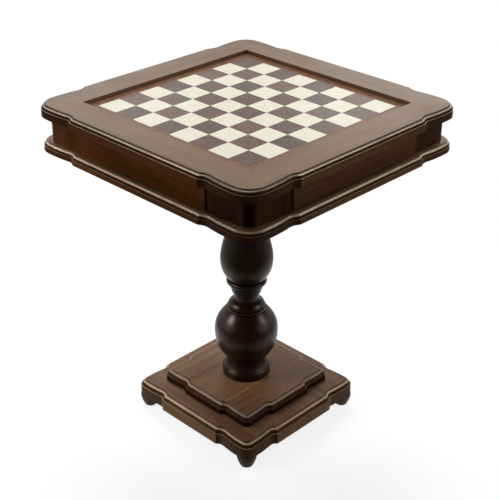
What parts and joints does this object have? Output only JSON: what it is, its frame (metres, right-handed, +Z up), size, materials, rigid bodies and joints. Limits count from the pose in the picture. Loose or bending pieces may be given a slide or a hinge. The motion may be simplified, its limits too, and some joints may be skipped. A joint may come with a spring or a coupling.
{
  "type": "chess table",
  "caption": "Square pedestal chess table with a recessed inlaid board in a moulded top, a shallow case with opposed drawers, a turned column and a stepped base.",
  "frame": {"origin": "on the floor under the middle of the table", "axes": "+Z up, +X out of the right drawer, -Y out of the front apron"},
  "size_m": [0.632, 0.632, 0.759],
  "materials": {
    "moulded_walnut": "satin lacquer",
    "apron_walnut": "satin lacquer",
    "espresso_wood": "satin lacquer",
    "ivory_veneer": "gloss lacquer",
    "dark_briar_veneer": "gloss lacquer",
    "tan_briar_veneer": "gloss lacquer",
    "inner_wood": "oiled",
    "plywood": "sealed",
    "steel": "zinc plated",
    "latch_plastic": "matte",
    "glide_plastic": "matte"
  },
  "bodies": {
    "table": {"apron_panel_back": "apron_walnut", "apron_panel_front": "apron_walnut", "base_screws": "steel", "batten_screws": "steel", "board_panel": "plywood", "border_band_back": "tan_briar_veneer", "border_band_front": "tan_briar_veneer", "border_band_left": "tan_briar_veneer", "border_band_right": "tan_briar_veneer", "capital_plate": "espresso_wood", "capital_screws": "steel", "case_screws": "steel", "column_foot": "espresso_wood", "corner_block_back_left": "apron_walnut", "corner_block_back_right": "apron_walnut", "corner_block_front_left": "apron_walnut", "corner_block_front_right": "apron_walnut", "cross_board_left": "inner_wood", "cross_board_right": "inner_wood", "dark_squares": "dark_briar_veneer", "drawer_guides": "inner_wood", "drawer_stops": "inner_wood", "floor_board": "plywood", "foot_back_left": "espresso_wood", "foot_back_right": "espresso_wood", "foot_dowels": "inner_wood", "foot_front_left": "espresso_wood", "foot_front_right": "espresso_wood", "foot_glides": "glide_plastic", "light_squares": "ivory_veneer", "lower_base_plate": "moulded_walnut", "lower_column": "espresso_wood", "moulding_rail_back": "moulded_walnut", "moulding_rail_front": "moulded_walnut", "moulding_rail_left": "moulded_walnut", "moulding_rail_right": "moulded_walnut", "panel_battens_back": "inner_wood", "panel_battens_front": "inner_wood", "push_latches": "latch_plastic", "tie_rod": "steel", "tie_rod_nuts": "steel", "tie_rod_washers": "steel", "top_rail_back": "moulded_walnut", "top_rail_front": "moulded_walnut", "top_rail_left": "moulded_walnut", "top_rail_right": "moulded_walnut", "upper_base_plate": "moulded_walnut", "upper_column": "espresso_wood"},
    "right_drawer": {"right_drawer_back": "inner_wood", "right_drawer_bottom": "plywood", "right_drawer_front": "apron_walnut", "right_drawer_side_back": "inner_wood", "right_drawer_side_front": "inner_wood"},
    "left_drawer": {"left_drawer_back": "inner_wood", "left_drawer_bottom": "plywood", "left_drawer_front": "apron_walnut", "left_drawer_side_back": "inner_wood", "left_drawer_side_front": "inner_wood"}
  },
  "joints": [
    {"name": "right_drawer_slide", "type": "slide", "parent": "table", "child": "right_drawer", "axis": [1, 0, 0], "range_m": [0, 0.14]},
    {"name": "left_drawer_slide", "type": "slide", "parent": "table", "child": "left_drawer", "axis": [-1, 0, 0], "range_m": [0, 0.14]}
  ]
}
